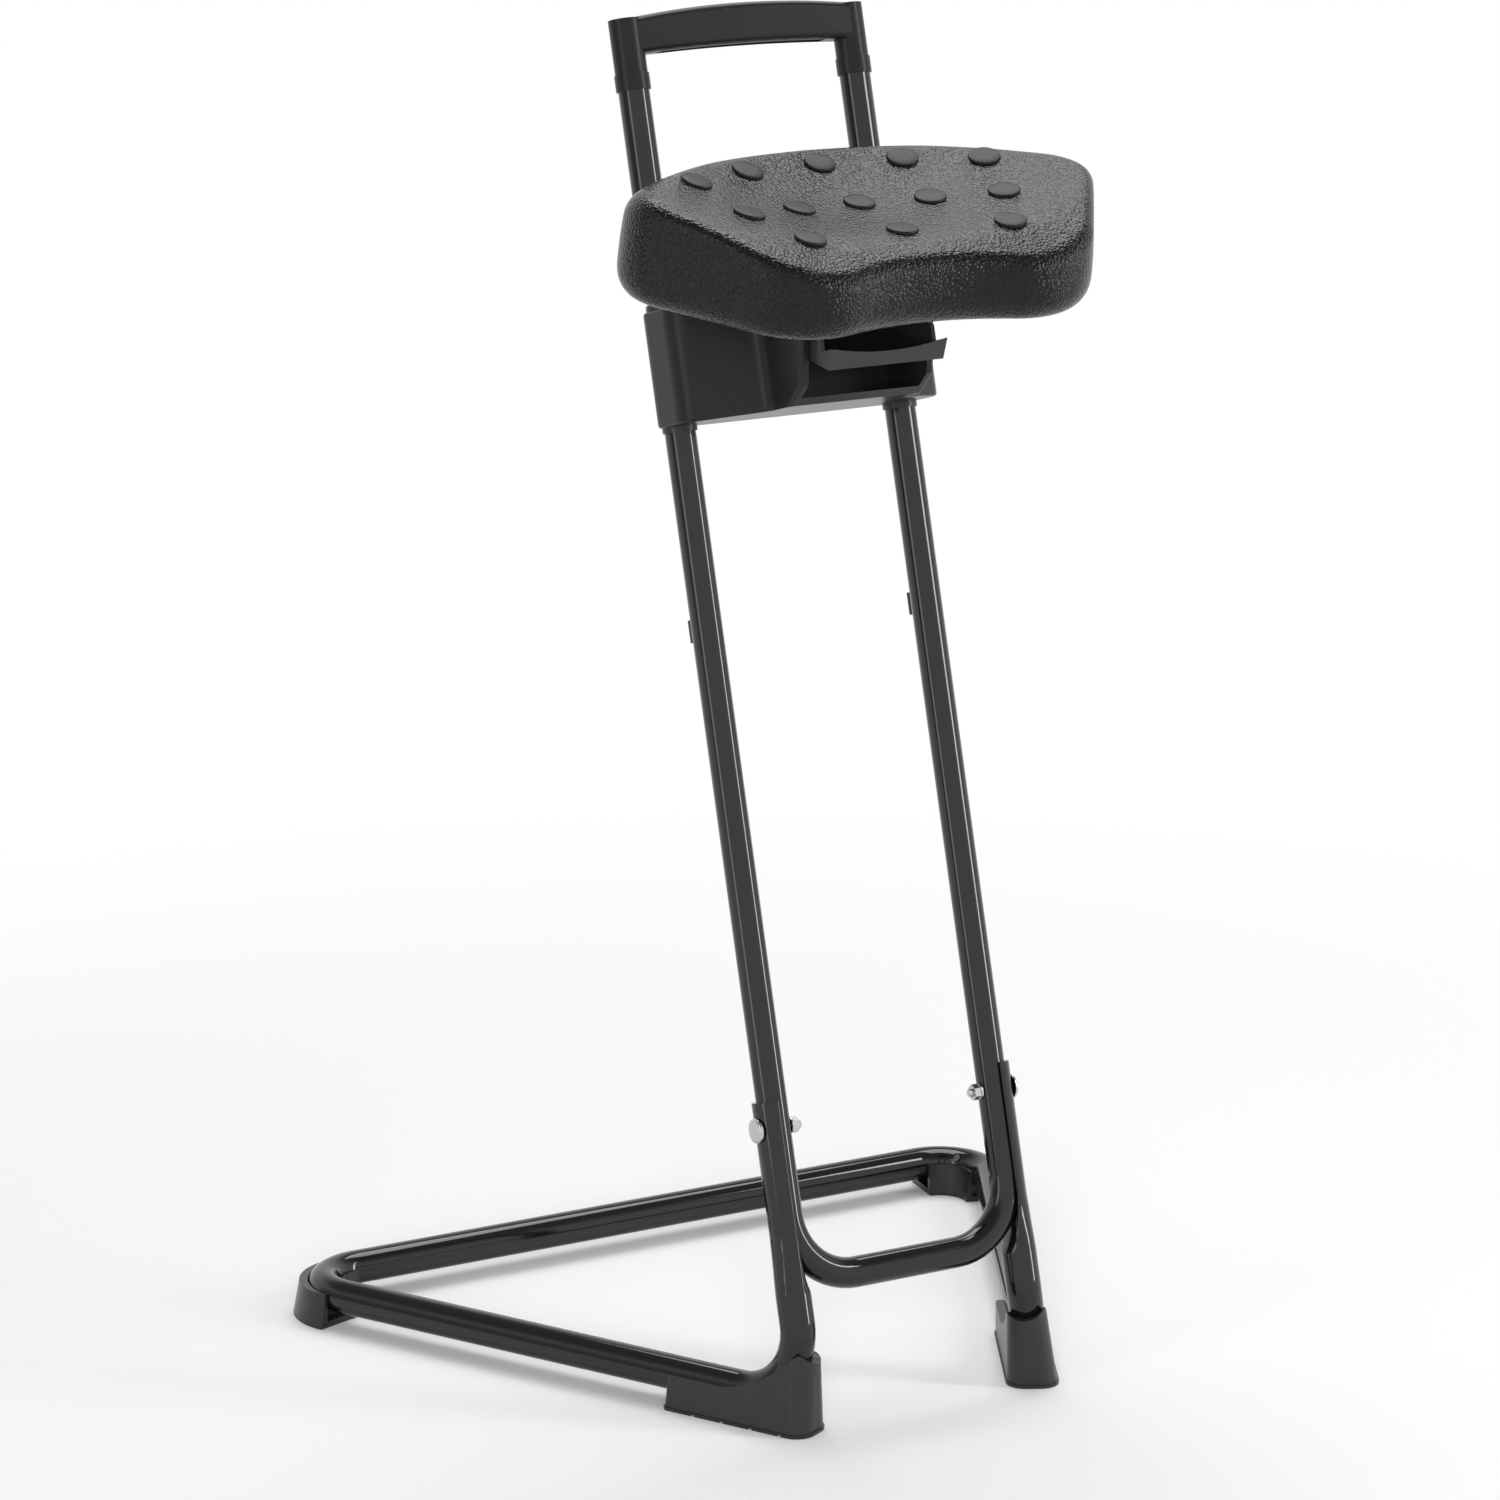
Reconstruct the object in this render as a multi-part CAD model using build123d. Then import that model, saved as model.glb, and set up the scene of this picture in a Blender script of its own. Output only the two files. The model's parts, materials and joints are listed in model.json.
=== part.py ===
from build123d import *
from math import acos, asin, atan2, cos, degrees, radians, sin, sqrt, tan
import os

# Leaning work stool: a bent tube base, a U-shaped column that leans to the rear, a carriage that
# slides on the column and carries a dished foam seat, and a moulded carry handle on top.
# Millimetres, +Z up, the user faces -Y. The origin is on the floor under the middle of the part's box.

# Frame tubing
column_diameter = 22.0
base_diameter = 25.0
tube_wall = 1.5
column_spacing = 178.0
column_lean = 15.8
bolt_y = -151.2
bolt_height = 206.4
u_drop = 109.0
u_bend_radius = 48.0
column_reach = 736.0
base_axis_height = 21.5
rear_setback = 357.0
rear_half_width = 306.0
rear_bend_radius = 38.0
foot_bend_radius = 43.0

# Pressed ends of the base tube, which cup the column
nest_clearance = 0.1
crescent_angle = 78.0
crescent_above_bolt = 19.0
crescent_below_bolt = 76.0
press_run = 40.0
upright_offset = 3.5

# Frame bolts, washers and nuts
bolt_diameter = 6.0
bolt_hole_clearance = 0.3
bolt_head_diameter = 18.0
bolt_head_height = 2.6
bolt_stud_length = 3.0
washer_diameter = 12.0
washer_thickness = 1.2
nut_across_flats = 10.0
nut_height = 5.0
thread_clearance = 0.05
seat_gap = 0.03
seat_rest_gap = 0.35

# Rubber feet
foot_clearance = 0.15
foot_length = 116.0
foot_nose = 7.0
foot_height = 60.0
foot_base_width = 36.4
foot_top_width = 27.6
rim_dip_radius = 20.0
rim_dip_depth = 10.5
rim_dip_shift = 3.2
scoop_end_drop = 5.0
foot_nose_radius = 13.0
foot_heel_radius = 4.0
foot_wall_rise = 3.5
foot_lip = 0.9
foot_lip_height = 2.2
groove_width = 3.0
groove_depth = 1.2
groove_pitch = 24.0
trough_inner_wall = 2.6
heel_shift = 10.0
heel_floor_radius = 51.5
heel_top_radius = 46.8
trough_floor = 4.5
trough_inner_rise = 3.0
trough_outer_rise = 4.0
trough_inner_flare = 2.2
trough_angle = 100.0
saddle_thickness = 3.5
saddle_angle = 34.0
foot_screw_diameter = 4.0
foot_screw_tilt = 36.0
foot_screw_bite = 6.5
foot_screw_stand = 0.3
foot_screw_head = 5.2
foot_screw_head_height = 1.6

# Travel stops on the rear of the column
stop_height = 341.0
stop_length = 16.0
stop_width = 11.0
stop_depth = 7.5
stop_screw_diameter = 4.0
stop_screw_length = 7.0
pan_head_diameter = 7.0
pan_head_height = 2.2

# Carry handle
handle_socket_depth = 10.5
handle_collar_length = 11.5
handle_collar_wall = 1.2
handle_leg_diameter = 23.0
handle_plug_length = 42.0
handle_plug_clearance = 0.1
handle_screw_drop = 5.0
grip_height = 25.7
grip_depth = 22.0
grip_corner = 5.0
grip_top_arch = 5.6
grip_under_arch = 2.6
grip_groove_width = 11.0
grip_groove_depth = 14.0
handle_rise = 39.4

# Carriage
carriage_base = 491.0
carriage_height = 81.0
bush_diameter = 24.5
bush_running_clearance = 0.08
bush_fit_clearance = 0.05
bush_length = 24.0
bush_collar = 4.0
end_wall = 2.2
cheek_front = 34.0
cheek_radius = 20.0
nose_root = 66.0
root_fillet = 14.0
snout_half_width = 53.0
snout_wall = 6.0
snout_floor = 4.5
snout_reach = 93.0
snout_chamfer_reach = 113.0
snout_chamfer_rise = 12.0
edge_round = 2.5
pocket_back = 60.0
pocket_roof = 8.0
pedestal_rear = 45.0
rib = 4.0
core_half_width = 50.0
cover_screw_diameter = 4.0
cover_screw_length = 20.0
cover_screw_u = 60.0
cover_screw_inset = 11.0
countersink_diameter = 8.0

# Release lever, brake bar and springs
lever_pin_diameter = 6.0
lever_pin_v = -80.0
lever_pin_rise = 50.0
pin_running_clearance = 0.08
pin_fit_clearance = 0.03
lever_half_width = 45.5
lever_skin = 3.0
lever_hub_radius = 6.0
lever_front_v = -148.8
lever_front_rise = 31.8
lever_lip_drop = 12.9
lever_lip_setback = 9.0
lever_ear_v = -138.0
lever_ear_rise = 42.4
lever_dip = 4.0
tail_half_width = 4.0
tail_thickness = 6.0
tail_length = 12.0
tongue_half_width = 9.0
tongue_thickness = 4.0
tongue_drop = 6.5
tongue_slot_clearance = 0.8
tongue_tip = 4.7
lever_notch_clearance = 2.5
brake_half_width = 96.0
brake_depth = 12.0
brake_height = 20.0
brake_running_clearance = 0.1
brake_travel = 2.5
cavity_clearance = 1.0
spring_u = 58.0
spring_wire = 1.2
spring_diameter = 9.0
spring_length = 14.0
spring_turns = 5

# Seat
seat_tilt = 9.7
seat_ahead = 207.1
seat_rise = 34.9
seat_rear = 190.8
seat_side_radius = 45.4
seat_side_x = 180.1
seat_side_y = 104.9
seat_lobe_radius = 64.4
seat_lobe_x = 80.6
seat_lobe_y = 52.1
dish_floor = 53.3
dish_centre = 77.9
dish_length_radius = 314.0
dish_width_radius = 500.0
under_roll = 20.0
rim_front = 50.0
rim_slope = 0.24
rim_inset = 5.0
crown_nose = (-16.0, 16.0)
crown_roll = (-6.5, 42.0)
crown_front = (19.0, 58.0)
crown_shoulder = (55.0, 66.5)
crown_top = (104.0, 73.0)
crown_back = (170.0, 69.5)
crown_tail_roll = (186.0, 62.0)
crown_tail = (198.0, 44.0)
nub_diameter = 22.5
nub_height = 2.0
nub_rows = ((164.1, 61.6, 8.1, 114.1, 30.4), (107.8, 51.8, 7.5, 100.5, 24.0), (50.2, 78.4, 11.4))
plate_thickness = 3.0
plate_half_width = 66.0
plate_front = 68.0
plate_rear = 172.0
plate_corner = 14.0
plate_clearance = 0.3
seat_bolt_diameter = 6.0
seat_bolt_u = 30.0
seat_bolt_front = 104.0
seat_bolt_rear = 146.0
seat_bolt_grip = 24.0
seat_bolt_head = 12.0
seat_bolt_head_height = 3.5

# Sizes that follow from the ones above
column_x = column_spacing / 2
column_radius = column_diameter / 2
base_radius = base_diameter / 2
upright_x = column_x + upright_offset
cup_inner = column_radius + nest_clearance
cup_outer = cup_inner + 2 * tube_wall
round_drop = crescent_below_bolt + press_run
bolt_hole_radius = bolt_diameter / 2 + bolt_hole_clearance
carriage_top = carriage_base + carriage_height
lever_pin_t = carriage_base + lever_pin_rise
lever_front_t = carriage_base + lever_front_rise
lever_ear_t = carriage_base + lever_ear_rise
handle_base = column_reach - handle_socket_depth
handle_top = column_reach + handle_rise
handle_screw_height = column_reach - handle_screw_drop
bush_radius = bush_diameter / 2
bush_bore = bush_radius + bush_fit_clearance
end_radius = bush_bore + end_wall
lean = radians(column_lean)

column_frame = Pos(0, bolt_y, bolt_height) * Rot(X=-column_lean)
seat_place = Pos(0, -seat_ahead, carriage_base + seat_rise) * Rot(X=column_lean + seat_tilt)
seat_frame = column_frame * seat_place


def on_column(u, v, t):
    """A point given across, behind and up the column from the middle of the bolt axis."""
    return (column_frame * Pos(u, v, t)).position


corner_drop = (bolt_height - base_axis_height) / cos(lean)
front_corner = on_column(upright_x, 0, -corner_drop)
rear_corner = Vector(rear_half_width, bolt_y + rear_setback, base_axis_height)
rail = (rear_corner - front_corner).normalized()
upright = Vector(0, sin(lean), cos(lean))


def other_side(point):
    return Vector(-point.X, point.Y, point.Z)


def both_sides(shape):
    """A piece and its mirror image, as one group of two solids."""
    return Compound(children=[shape, mirror(shape, about=Plane.YZ)])


def rod(radius, start, end):
    """A round bar between two points."""
    line = Vector(*end) - Vector(*start)
    return extrude(Plane(origin=start, z_dir=line) * Circle(radius), line.length)


def tube_along(path, radius):
    return sweep(Plane(origin=path @ 0, z_dir=path % 0) * Circle(radius), path=path)


def polygon(*points):
    return make_face(Polyline(*points, close=True))


def slab(face, low, high):
    """A face drawn in v and t, pushed across the column from u = low to u = high."""
    return extrude(Plane((low, 0, 0), x_dir=(0, 1, 0), z_dir=(1, 0, 0)) * face, high - low)


# Base frame: round tube on the floor with pressed uprights
base_path = FilletPolyline(
    other_side(on_column(upright_x, 0, -round_drop)),
    other_side(front_corner),
    other_side(rear_corner),
    rear_corner,
    front_corner,
    on_column(upright_x, 0, -round_drop),
    radius=[foot_bend_radius, rear_bend_radius, rear_bend_radius, foot_bend_radius],
)


def polar(radius, angle, centre):
    return (centre + radius * cos(radians(angle)), radius * sin(radians(angle)))


def ring_profile(outer, inner, split, tip, outer_centre, inner_centre, inner_mid):
    """Closed outline of an outer arc, two tips and an inner arc, symmetric about its first axis."""
    corners = [polar(outer, -split, outer_centre), polar(outer, split, outer_centre)]
    inside = [polar(inner, inner_mid[1], inner_centre), polar(inner, -inner_mid[1], inner_centre)]
    edges = [
        ThreePointArc(corners[0], polar(outer, 0, outer_centre), corners[1]),
        ThreePointArc(corners[1], (tip[0], tip[1]), inside[0]),
        ThreePointArc(inside[0], polar(inner, inner_mid[0], inner_centre), inside[1]),
        ThreePointArc(inside[1], (tip[0], -tip[1]), corners[0]),
    ]
    return make_face(edges)


def crescent_face():
    """The flattened tube: two walls folded into one cup round the outer side of the column."""
    middle = (cup_outer + cup_inner) / 2
    tip_angle = crescent_angle + degrees(tube_wall / middle)
    tip = polar(middle, tip_angle, column_x)
    return ring_profile(cup_outer, cup_inner, crescent_angle, tip, column_x, column_x, (0, crescent_angle))


def round_face():
    """The round tube, cut into the same four arcs as the crescent."""
    tip = polar(base_radius, 115, upright_x)
    return ring_profile(base_radius, base_radius, 100, tip, upright_x, upright_x, (180, 130))


def pressed_end():
    cup = extrude(Pos(0, 0, -crescent_below_bolt) * crescent_face(), crescent_below_bolt + crescent_above_bolt)
    neck = loft([Pos(0, 0, -round_drop) * round_face(), Pos(0, 0, -crescent_below_bolt) * crescent_face()])
    return column_frame * (cup + neck)


bolt_holes = column_frame * rod(bolt_hole_radius, (-2 * column_x, 0, 0), (2 * column_x, 0, 0))
end = pressed_end()
base_frame = tube_along(base_path, base_radius) - tube_along(base_path, base_radius - tube_wall)
base_frame = base_frame + end + mirror(end, about=Plane.YZ) - bolt_holes

# Rear bends: centre of the bend and the way it points outward
rear_turn = (Vector(-1, 0, 0) - rail).normalized()
rear_half_turn = acos(rear_turn.dot(Vector(-1, 0, 0)))
rear_bend_centre = rear_corner + rear_turn * (rear_bend_radius / sin(rear_half_turn))
rear_outward = degrees(atan2(-rear_turn.Y, -rear_turn.X))
rear_frame = Pos(rear_bend_centre.X, rear_bend_centre.Y, 0) * Rot(Z=rear_outward)
trough_inner = rear_bend_radius - base_radius - foot_clearance
trough_outer = rear_bend_radius + base_radius + foot_clearance
bend_axis = Vector(rear_bend_radius, 0, base_axis_height)
screw_way = Vector(-cos(radians(foot_screw_tilt)), 0, sin(radians(foot_screw_tilt)))
screw_seat = bend_axis + screw_way * (base_radius + foot_screw_stand)
screw_tip = bend_axis - screw_way * (base_radius + foot_screw_bite)


def foot_screw():
    """Pan-head screw from the inner upper side of the bend, through the tube, into the foot's outer wall."""
    head = extrude(Plane(origin=screw_seat, z_dir=screw_way) * Circle(foot_screw_head / 2), foot_screw_head_height)
    head = fillet(head.edges().group_by(Axis(screw_seat, screw_way))[-1], foot_screw_head_height * 0.6)
    return head + rod(foot_screw_diameter / 2, screw_seat, screw_tip)


def screw_hole(radius):
    return rod(radius, screw_seat, screw_tip)


def rear_foot():
    """Curved trough under a rear bend, with saddles that carry the tube clear of its floor."""
    wall_in = trough_inner - trough_inner_wall
    reach = heel_shift + heel_floor_radius
    heel_height = base_axis_height + trough_outer_rise
    envelope = polygon(
        (wall_in - trough_inner_flare, 0),
        (reach, 0),
        (reach, heel_height),
        (trough_outer, heel_height),
        (wall_in, base_axis_height + trough_inner_rise),
        (wall_in - trough_inner_flare, foot_lip_height),
    )
    hollow = Pos(rear_bend_radius, trough_floor) * Rectangle(
        trough_outer - trough_inner, base_diameter * 2, align=(Align.CENTER, Align.MIN)
    )
    foot = revolve(Plane.XZ * envelope, Axis.Z, trough_angle) - revolve(Plane.XZ * hollow, Axis.Z, trough_angle)
    foot = Rot(Z=-trough_angle / 2) * foot
    heel = Cone(heel_floor_radius, heel_top_radius, heel_height, align=(Align.CENTER, Align.CENTER, Align.MIN))
    foot &= Pos(heel_shift, 0, 0) * heel
    for angle in (-saddle_angle, 0, saddle_angle):
        web = Box(
            trough_outer - trough_inner + trough_inner_wall,
            saddle_thickness,
            base_axis_height,
            align=(Align.CENTER, Align.CENTER, Align.MIN),
        )
        foot += Rot(Z=angle) * Pos(rear_bend_radius, 0, 0) * web
    foot -= Pos(0, 0, base_axis_height) * Torus(rear_bend_radius, base_radius + foot_clearance)
    return foot - screw_hole(foot_screw_diameter / 2 + thread_clearance)


rear_foot_right = rear_frame * rear_foot()
rear_screw_right = rear_frame * foot_screw()
frame_screw_holes = rear_frame * screw_hole(foot_screw_diameter / 2 + thread_clearance)
base_frame = base_frame - frame_screw_holes - mirror(frame_screw_holes, about=Plane.YZ)

# Front feet: boots over the front bends
foot_frame = Pos(front_corner.X, front_corner.Y, 0) * Rot(Z=degrees(atan2(rail.Y, rail.X)))
foot_turn = degrees(acos(rail.dot(upright)))
foot_tangent = foot_bend_radius / tan(radians(foot_turn / 2))
upright_top = on_column(upright_x, 0, -(bolt_height - foot_height) / cos(lean))
upright_at_top = (foot_frame.inverse() * Pos(upright_top)).position


def foot_outline(width, nose, shift):
    length = foot_length - foot_nose - nose
    outline = Pos(nose, shift) * Rectangle(length, width, align=(Align.MIN, Align.CENTER))
    ends = outline.vertices().group_by(Axis.X)
    outline = fillet(ends[0], foot_nose_radius)
    return fillet(outline.vertices().group_by(Axis.X)[-1], foot_heel_radius)


def front_foot():
    """Boot whose open top follows the bend, low along the rail and high round the upright."""
    base = foot_outline(foot_base_width, -foot_nose, 0)
    top_nose = upright_at_top.X - foot_top_width / 2
    top = Pos(0, 0, foot_height) * foot_outline(foot_top_width, top_nose, upright_at_top.Y)
    boot = loft([base, top])
    boot += extrude(offset(base, foot_lip), foot_lip_height)
    wall_top = base_axis_height + foot_wall_rise
    rail_end = (2 * foot_length, wall_top)
    scoop_start = (foot_tangent + 2 * foot_wall_rise, wall_top)
    scoop_middle = (foot_tangent * 0.52, base_axis_height + foot_bend_radius * 0.37)
    scoop_end = (foot_tangent * 0.12, foot_height - scoop_end_drop)
    rim = (top_nose + foot_wall_rise, foot_height)
    sky = 2 * foot_height
    scoop = make_face(
        [
            Line(rail_end, scoop_start),
            ThreePointArc(scoop_start, scoop_middle, scoop_end),
            Polyline(scoop_end, rim, (-foot_length, foot_height), (-foot_length, sky)),
            Polyline((-foot_length, sky), (2 * foot_length, sky), rail_end),
        ]
    )
    boot -= extrude(Plane.XZ * scoop, foot_base_width, both=True)
    dip_height = foot_height - rim_dip_depth + rim_dip_radius
    dip_side = upright_at_top.Y + rim_dip_shift
    dip_end = (upright_at_top.X, dip_side, dip_height)
    boot -= rod(rim_dip_radius, (-foot_length, dip_side, dip_height), dip_end)
    for step in range(int(foot_length / groove_pitch)):
        groove = Box(groove_width, 2 * foot_base_width, 2 * groove_depth)
        boot -= Pos(groove_pitch * (step + 0.5), 0, 0) * groove
    return foot_frame * boot - tube_along(base_path, base_radius + foot_clearance)


front_foot_right = front_foot()

# Column: one tube bent into a U
column_path = FilletPolyline(
    on_column(-column_x, 0, column_reach),
    on_column(-column_x, 0, -u_drop),
    on_column(column_x, 0, -u_drop),
    on_column(column_x, 0, column_reach),
    radius=u_bend_radius,
)
stop_middle = stop_height + stop_length / 2
stop_face = column_radius + stop_depth
stop_screw_start = (column_x, stop_face + pan_head_height, stop_middle)
stop_screw_end = (column_x, stop_face - stop_depth - stop_screw_length / 2, stop_middle)
handle_screw_face = column_radius + nest_clearance + handle_collar_wall
handle_screw_start = (column_x, handle_screw_face + pan_head_height, handle_screw_height)
handle_screw_end = (column_x, handle_screw_face - stop_screw_length, handle_screw_height)


def small_screw(start, face, end):
    """Pan-head screw driven from behind the column."""
    head = rod(pan_head_diameter / 2, start, face)
    head = fillet(head.edges().group_by(Axis.Y)[-1], pan_head_height * 0.6)
    return head + rod(stop_screw_diameter / 2, face, end)


def screw_bores(clearance):
    radius = stop_screw_diameter / 2 + clearance
    bores = rod(radius, stop_screw_start, stop_screw_end) + rod(radius, handle_screw_start, handle_screw_end)
    return column_frame * (bores + mirror(bores, about=Plane.YZ))


column_tube = tube_along(column_path, column_radius) - tube_along(column_path, column_radius - tube_wall)
column_tube = column_tube - bolt_holes - screw_bores(thread_clearance)
stop_screw = column_frame * small_screw(stop_screw_start, (column_x, stop_face, stop_middle), stop_screw_end)
handle_screw_seat = (column_x, handle_screw_face, handle_screw_height)
handle_screw = column_frame * small_screw(handle_screw_start, handle_screw_seat, handle_screw_end)

# Frame bolts, washers and nuts
head_seat = column_x + cup_outer + seat_gap
washer_face = column_x - column_radius - seat_gap
nut_face = washer_face - washer_thickness
stud_end = nut_face - nut_height - bolt_stud_length


def frame_bolt():
    head = rod(bolt_head_diameter / 2, (head_seat, 0, 0), (head_seat + bolt_head_height, 0, 0))
    head = fillet(head.edges().group_by(Axis.X)[-1], bolt_head_height * 0.7)
    shank = rod(bolt_diameter / 2, (stud_end, 0, 0), (head_seat, 0, 0))
    return head + chamfer(shank.edges().group_by(Axis.X)[0], bolt_diameter / 8)


def frame_washer():
    disc = rod(washer_diameter / 2, (nut_face, 0, 0), (washer_face, 0, 0))
    return disc - rod(bolt_hole_radius, (nut_face - 1, 0, 0), (washer_face + 1, 0, 0))


def frame_nut():
    start = (nut_face - nut_height, 0, 0)
    hexagon = RegularPolygon(nut_across_flats / 2, 6, major_radius=False)
    nut = extrude(Plane(origin=start, z_dir=(1, 0, 0)) * hexagon, nut_height)
    return nut - rod(bolt_diameter / 2 + thread_clearance, start, (nut_face, 0, 0))


# Travel stops
def travel_stop():
    """Block with a saddle that fits the rear of the tube."""
    block = Box(stop_width, stop_face, stop_length, align=(Align.CENTER, Align.MIN, Align.CENTER))
    block = fillet(block.edges().filter_by(Axis.Z).group_by(Axis.Y)[-1], stop_width / 4)
    block -= Cylinder(column_radius + nest_clearance, 2 * stop_length)
    bore = rod(stop_screw_diameter / 2 + bolt_hole_clearance, (0, 0, 0), (0, 2 * stop_face, 0))
    return column_frame * Pos(column_x, 0, stop_middle) * (block - bore)


# Carry handle
def grip_face(low, high, half_width, under_arch, top_arch):
    """Front view of the grip between two shallow arches."""
    return make_face(
        [
            ThreePointArc((-half_width, low), (0, low + under_arch), (half_width, low)),
            Line((half_width, low), (half_width, high)),
            ThreePointArc((half_width, high), (0, high + top_arch), (-half_width, high)),
            Line((-half_width, high), (-half_width, low)),
        ]
    )


def carry_handle():
    """Arched grip with a groove along its underside, on two legs that plug into the column's ends."""
    leg_radius = handle_leg_diameter / 2
    low = handle_top - grip_height
    face = Plane.XZ * grip_face(low, handle_top, column_x, grip_under_arch, grip_top_arch)
    handle = extrude(face, grip_depth / 2, both=True)
    long_edges = [edge for edge in handle.edges() if edge.geom_type == GeomType.CIRCLE]
    handle = fillet(long_edges, grip_corner)
    half_groove = column_x - handle_leg_diameter
    groove_top = low + grip_groove_depth
    groove = Plane.XZ * grip_face(low - 1, groove_top, half_groove, grip_under_arch, grip_under_arch)
    handle -= extrude(groove, grip_groove_width / 2, both=True)
    for side in (-1, 1):
        axis = Pos(side * column_x, 0, 0)
        handle += axis * rod(leg_radius, (0, 0, column_reach + nest_clearance), (0, 0, handle_top))
        sleeve_top = handle_base + handle_collar_length
        collar = rod(handle_screw_face, (0, 0, handle_base), (0, 0, sleeve_top))
        socket_end = (0, 0, column_reach + nest_clearance)
        collar -= rod(column_radius + nest_clearance, (0, 0, handle_base), socket_end)
        plug_radius = column_radius - tube_wall - handle_plug_clearance
        plug = rod(plug_radius, (0, 0, column_reach - handle_plug_length), (0, 0, column_reach + 2))
        handle += axis * (collar + plug)
    return column_frame * handle - screw_bores(bolt_hole_clearance)


# Carriage: moulded housing in front of the tubes and a cover behind them
seat_in_column = column_frame.inverse() * seat_frame


def seat_line(v, below=0.0):
    """Height up the column of the seat's underside at a distance v, or of a plane below it."""
    origin = (seat_in_column * Pos(0, 0, -below)).position
    slope = tan(radians(seat_tilt + column_lean))
    return origin.Z + (v - origin.Y) * slope


brake_level = lever_pin_t - tongue_drop - tongue_thickness / 2
cavity_low = brake_level - brake_height / 2 - cavity_clearance
cavity_high = brake_level + brake_height / 2 + cavity_clearance
brake_back = -column_radius + brake_depth / 2 - brake_running_clearance
brake_front = brake_back - brake_depth
spring_seat = brake_front - spring_length - brake_travel
tongue_front = lever_pin_v - tail_thickness / 2 - tongue_slot_clearance - tongue_tip


def carriage_outline():
    """Plan of the block: round ends about the tubes, slanted cheeks in front, flat nose root."""
    wide = column_x + end_radius
    stub = nose_root + 2 * root_fillet
    outline = polygon(
        (-wide, end_radius),
        (wide, end_radius),
        (wide, -cheek_front),
        (snout_half_width, -nose_root),
        (snout_half_width, -stub),
        (-snout_half_width, -stub),
        (-snout_half_width, -nose_root),
        (-wide, -cheek_front),
    )
    outline = fillet(outline.vertices().group_by(Axis.Y)[-1], end_radius * 0.98)
    cheeks = [vertex for vertex in outline.vertices() if abs(vertex.Y + cheek_front) < 0.01]
    outline = fillet(cheeks, cheek_radius)
    roots = [vertex for vertex in outline.vertices() if abs(vertex.Y + nose_root) < 0.01]
    return fillet(roots, root_fillet)


def snout_profile():
    """Side view of the snout: floor square to the column, chamfered chin, upright front, seat line on top."""
    chin = (-snout_chamfer_reach, carriage_base + snout_chamfer_rise)
    slope = tan(radians(seat_tilt + column_lean))
    rise = (seat_line(chin[0], seat_rest_gap) - chin[1]) / (cos(lean) + slope * sin(lean))
    brow = (chin[0] - rise * sin(lean), chin[1] + rise * cos(lean))
    return polygon(
        (-end_radius, carriage_base),
        (-snout_reach, carriage_base),
        chin,
        brow,
        (-pedestal_rear, seat_line(-pedestal_rear, seat_rest_gap)),
        (-end_radius, carriage_top),
    )


def cover_screw_places():
    for side in (-1, 1):
        for level in (carriage_base + cover_screw_inset, carriage_top - cover_screw_inset):
            yield side * cover_screw_u, level


def carriage_block():
    block = Pos(0, 0, carriage_base) * extrude(carriage_outline(), carriage_height)
    block = fillet(block.edges().group_by(Axis.Z)[0] + block.edges().group_by(Axis.Z)[-1], edge_round)
    snout = slab(snout_profile(), -snout_half_width, snout_half_width)
    front = [edge for edge in snout.edges() if edge.center().Y < -snout_reach]
    block += fillet(front, edge_round)
    for side in (-1, 1):
        block -= Pos(side * column_x, 0, 0) * Cylinder(bush_bore, 4 * carriage_top)
    return block


def carriage_hollows():
    """Lever pocket, brake cavity and the passage between them."""
    pocket_wide = snout_half_width - snout_wall
    floor = carriage_base + snout_floor
    front = lever_front_v
    pocket = polygon(
        (-pocket_back, floor),
        (front, floor),
        (front, seat_line(front, pocket_roof)),
        (-pocket_back, seat_line(-pocket_back, pocket_roof)),
    )
    hollows = slab(pocket, -pocket_wide, pocket_wide)
    back = brake_back + cavity_clearance
    bar_space = polygon(
        (back, cavity_low),
        (brake_front - brake_travel, cavity_low),
        (brake_front - brake_travel, cavity_high),
        (back, cavity_high),
    )
    hollows += slab(bar_space, -brake_half_width - cavity_clearance, brake_half_width + cavity_clearance)
    way = polygon(
        (back, cavity_low), (-pocket_back - 1, cavity_low), (-pocket_back - 1, cavity_high), (back, cavity_high)
    )
    way_wide = tongue_half_width + 2 * cavity_clearance
    hollows += slab(way, -way_wide, way_wide)
    for side in (-1, 1):
        start = (side * spring_u, spring_seat, brake_level)
        hollows += rod(spring_diameter / 2 + cavity_clearance, start, (side * spring_u, back, brake_level))
    for low, high in ((carriage_base + rib, cavity_low - rib), (cavity_high + rib, carriage_top - rib)):
        for left in (-core_half_width, rib / 2):
            core = Pos(left, end_radius - rib, low) * Box(
                core_half_width - rib / 2,
                pocket_back + end_radius - 2 * rib,
                high - low,
                align=(Align.MIN, Align.MAX, Align.MIN),
            )
            hollows += core
    return hollows


def half_space(front):
    """Everything in front of the column's axes, or behind them."""
    deep = 4 * snout_chamfer_reach
    align_v = Align.MAX if front else Align.MIN
    return Box(4 * column_spacing, deep, 4 * carriage_top, align=(Align.CENTER, align_v, Align.CENTER))


def cover_screw(u, t):
    face = end_radius
    sink = countersink_diameter / 2
    tip = face - cover_screw_length
    profile = polygon(
        (0, face),
        (sink, face),
        (cover_screw_diameter / 2, face - sink + cover_screw_diameter / 2),
        (cover_screw_diameter / 2, tip),
        (0, tip),
    )
    return Pos(u, 0, t) * revolve(profile, Axis.Y)


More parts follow.
